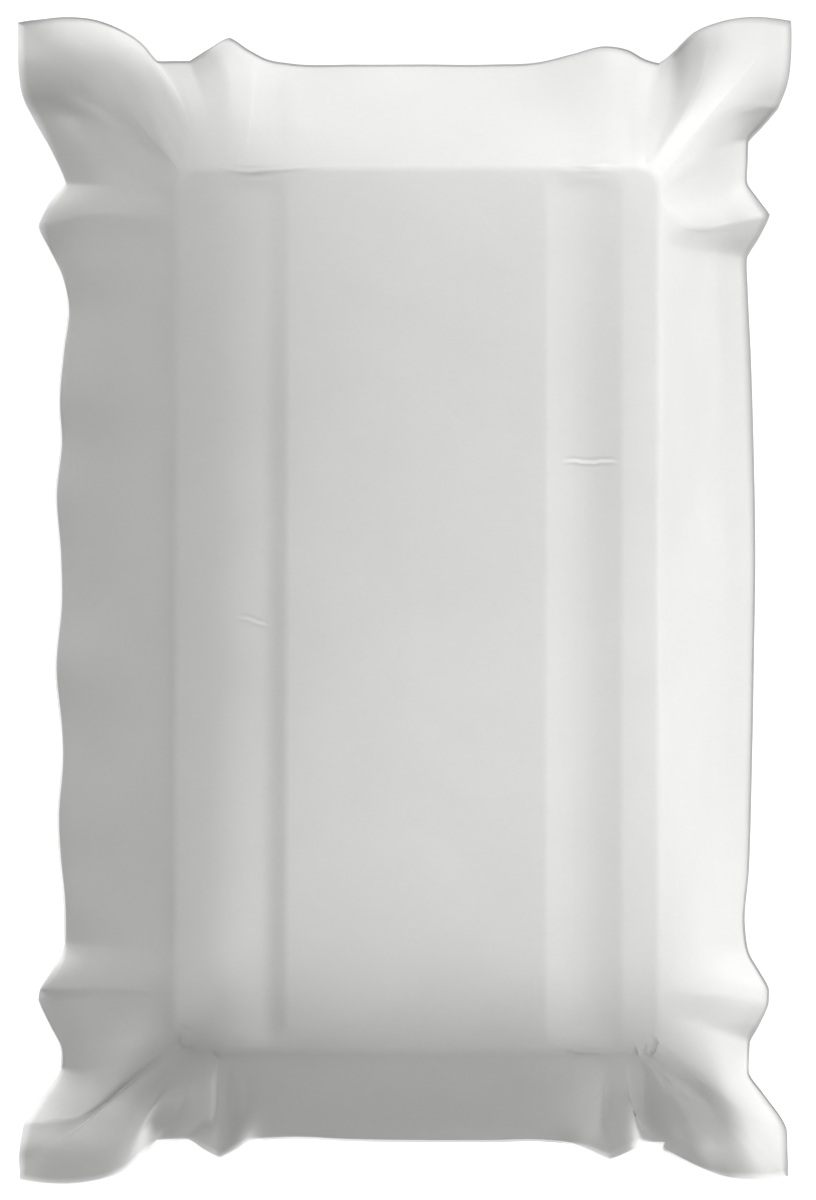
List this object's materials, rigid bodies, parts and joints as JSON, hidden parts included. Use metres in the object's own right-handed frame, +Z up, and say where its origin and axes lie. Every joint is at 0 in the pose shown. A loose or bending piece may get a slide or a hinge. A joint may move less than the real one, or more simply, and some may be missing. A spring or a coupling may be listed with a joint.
{
  "type": "paper food tray",
  "caption": "Shallow rectangular pressed paperboard tray with sloping walls, flared corner ears, small wall pleats and two floor ribs.",
  "frame": {"origin": "centre of the tray's outline in plan, on the plane the underside of the floor rests on", "axes": "+Z up out of the tray's mouth, +Y along the tray's long side, +X along its short side"},
  "size_m": [0.1458, 0.2194, 0.0318],
  "materials": {
    "board": "uncoated white pressed paperboard, matt"
  },
  "bodies": {
    "root": {"tray": "board"}
  },
  "joints": []
}
